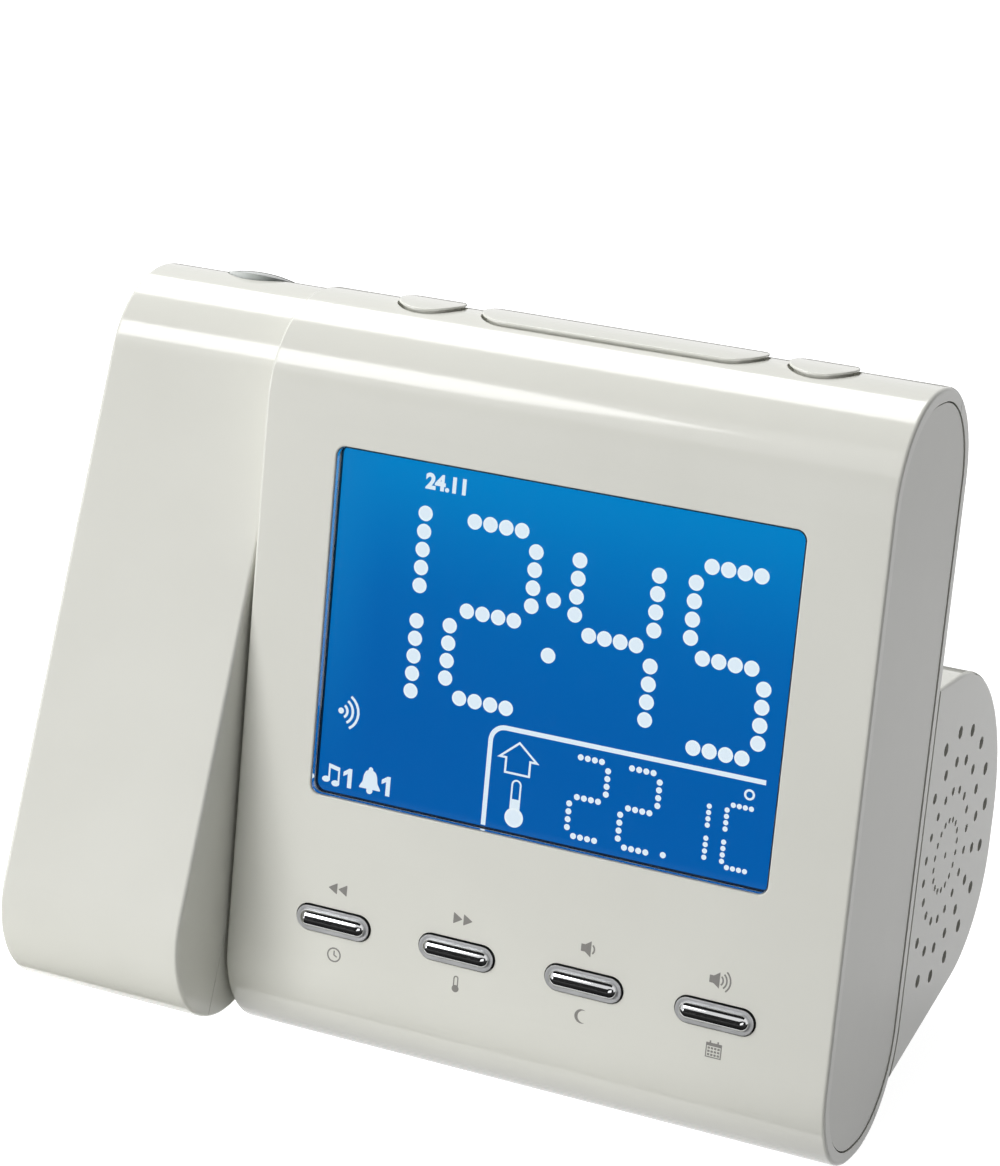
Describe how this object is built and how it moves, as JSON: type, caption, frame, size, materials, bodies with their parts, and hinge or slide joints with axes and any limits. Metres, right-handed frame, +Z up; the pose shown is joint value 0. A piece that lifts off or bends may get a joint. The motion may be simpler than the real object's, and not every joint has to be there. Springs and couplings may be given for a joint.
{
  "type": "projection alarm clock",
  "caption": "Leaning bedside alarm clock with a wide display, pill keys, a loudspeaker pod behind and a swivelling side arm that projects the time.",
  "frame": {"origin": "bottom centre of the bounding box, on the surface the clock stands on", "axes": "+X towards the clock's right end as seen from the front, +Y towards its back, +Z up"},
  "size_m": [0.1412, 0.0988, 0.1265],
  "materials": {
    "shell": "glossy off-white",
    "window": "clear",
    "bezel": "black",
    "display": "blue liquid crystal",
    "light_guide": "clear acrylic",
    "inner_plastic": "matt",
    "board": "green laminate",
    "shield": "tin plated",
    "black_plastic": "matt black",
    "steel": "plain",
    "speaker_frame": "black",
    "speaker_paper": "paper",
    "ferrite": "plain",
    "rubber": "matt",
    "cell": "silver",
    "chrome": "mirror plated",
    "lens": "clear",
    "lamp": "red diode"
  },
  "bodies": {
    "main": {"front_housing": "shell", "rear_housing": "shell", "pod_housing": "shell", "right_panel": "shell", "left_panel": "shell", "window_lens": "window", "window_bezel": "bezel", "display_glass": "display", "light_guide": "light_guide", "display_tray": "inner_plastic", "main_board": "board", "radio_module": "shield", "clock_chip": "black_plastic", "key_board": "board", "key_switches": "black_plastic", "top_board": "board", "top_switches": "black_plastic", "speaker_gasket": "rubber", "speaker_basket": "speaker_frame", "speaker_cone": "speaker_paper", "speaker_magnet": "ferrite", "battery_tray": "inner_plastic", "batteries": "cell", "battery_springs": "steel", "battery_plates": "steel", "dc_jack": "black_plastic", "antenna_gland": "rubber", "pivot_shaft": "inner_plastic", "pivot_clip": "steel", "housing_screws": "steel", "pod_screws": "steel", "tray_screws": "steel", "board_screws": "steel", "front_feet": "rubber", "foot_posts": "shell", "rear_feet": "rubber"},
    "alarm_button_left": {"alarm_button_left": "shell"},
    "snooze_button": {"snooze_button": "shell"},
    "alarm_button_right": {"alarm_button_right": "shell"},
    "front_key_1": {"front_key_1": "chrome"},
    "front_key_2": {"front_key_2": "chrome"},
    "front_key_3": {"front_key_3": "chrome"},
    "front_key_4": {"front_key_4": "chrome"},
    "battery_door": {"battery_door": "shell"},
    "arm": {"arm_front_shell": "shell", "arm_rear_shell": "shell", "pivot_bush": "inner_plastic", "friction_washer": "steel", "projector_frame": "black_plastic", "lamp_board": "board", "projector_lamp": "lamp", "condenser_lens": "lens", "slide_display": "display", "driver_board": "board", "arm_screws": "steel"},
    "focus_wheel": {"focus_wheel": "shell"},
    "lens_barrel": {"lens_barrel": "black_plastic", "projector_lens": "lens"}
  },
  "joints": [
    {"name": "arm_swivel", "type": "hinge", "parent": "main", "child": "arm", "pos_m": [-0.0536, -0.0033, 0.08101], "axis": [1, 0, 0], "range_deg": [-62, 118]},
    {"name": "alarm_button_left_press", "type": "slide", "parent": "main", "child": "alarm_button_left", "axis": [0, -0.2079, -0.9781], "range_m": [0, 0.0005], "stiffness_N_per_m": 2000},
    {"name": "snooze_button_press", "type": "slide", "parent": "main", "child": "snooze_button", "axis": [0, -0.2079, -0.9781], "range_m": [0, 0.0005], "stiffness_N_per_m": 2000},
    {"name": "alarm_button_right_press", "type": "slide", "parent": "main", "child": "alarm_button_right", "axis": [0, -0.2079, -0.9781], "range_m": [0, 0.0005], "stiffness_N_per_m": 2000},
    {"name": "front_key_1_press", "type": "slide", "parent": "main", "child": "front_key_1", "axis": [0, 0.9781, -0.2079], "range_m": [0, 0.0005], "stiffness_N_per_m": 1500},
    {"name": "front_key_2_press", "type": "slide", "parent": "main", "child": "front_key_2", "axis": [0, 0.9781, -0.2079], "range_m": [0, 0.0005], "stiffness_N_per_m": 1500},
    {"name": "front_key_3_press", "type": "slide", "parent": "main", "child": "front_key_3", "axis": [0, 0.9781, -0.2079], "range_m": [0, 0.0005], "stiffness_N_per_m": 1500},
    {"name": "front_key_4_press", "type": "slide", "parent": "main", "child": "front_key_4", "axis": [0, 0.9781, -0.2079], "range_m": [0, 0.0005], "stiffness_N_per_m": 1500},
    {"name": "battery_door_hinge", "type": "hinge", "parent": "main", "child": "battery_door", "pos_m": [0.00525, 0.00688, 0.00861], "axis": [1, 0, 0], "range_deg": [-100, 0]},
    {"name": "focus_turn", "type": "hinge", "parent": "arm", "child": "focus_wheel", "pos_m": [-0.0426, 0.0126, 0.08845], "axis": [1, 0, 0], "range_deg": [-28, 28]},
    {"name": "lens_focus", "type": "slide", "parent": "arm", "child": "lens_barrel", "axis": [0, 0.4664, 0.8846], "range_m": [-0.00146, 0.00146]}
  ],
  "couplings": [
    {"joint": "focus_turn", "follows": "lens_focus", "rad_per_m": -333.33}
  ]
}
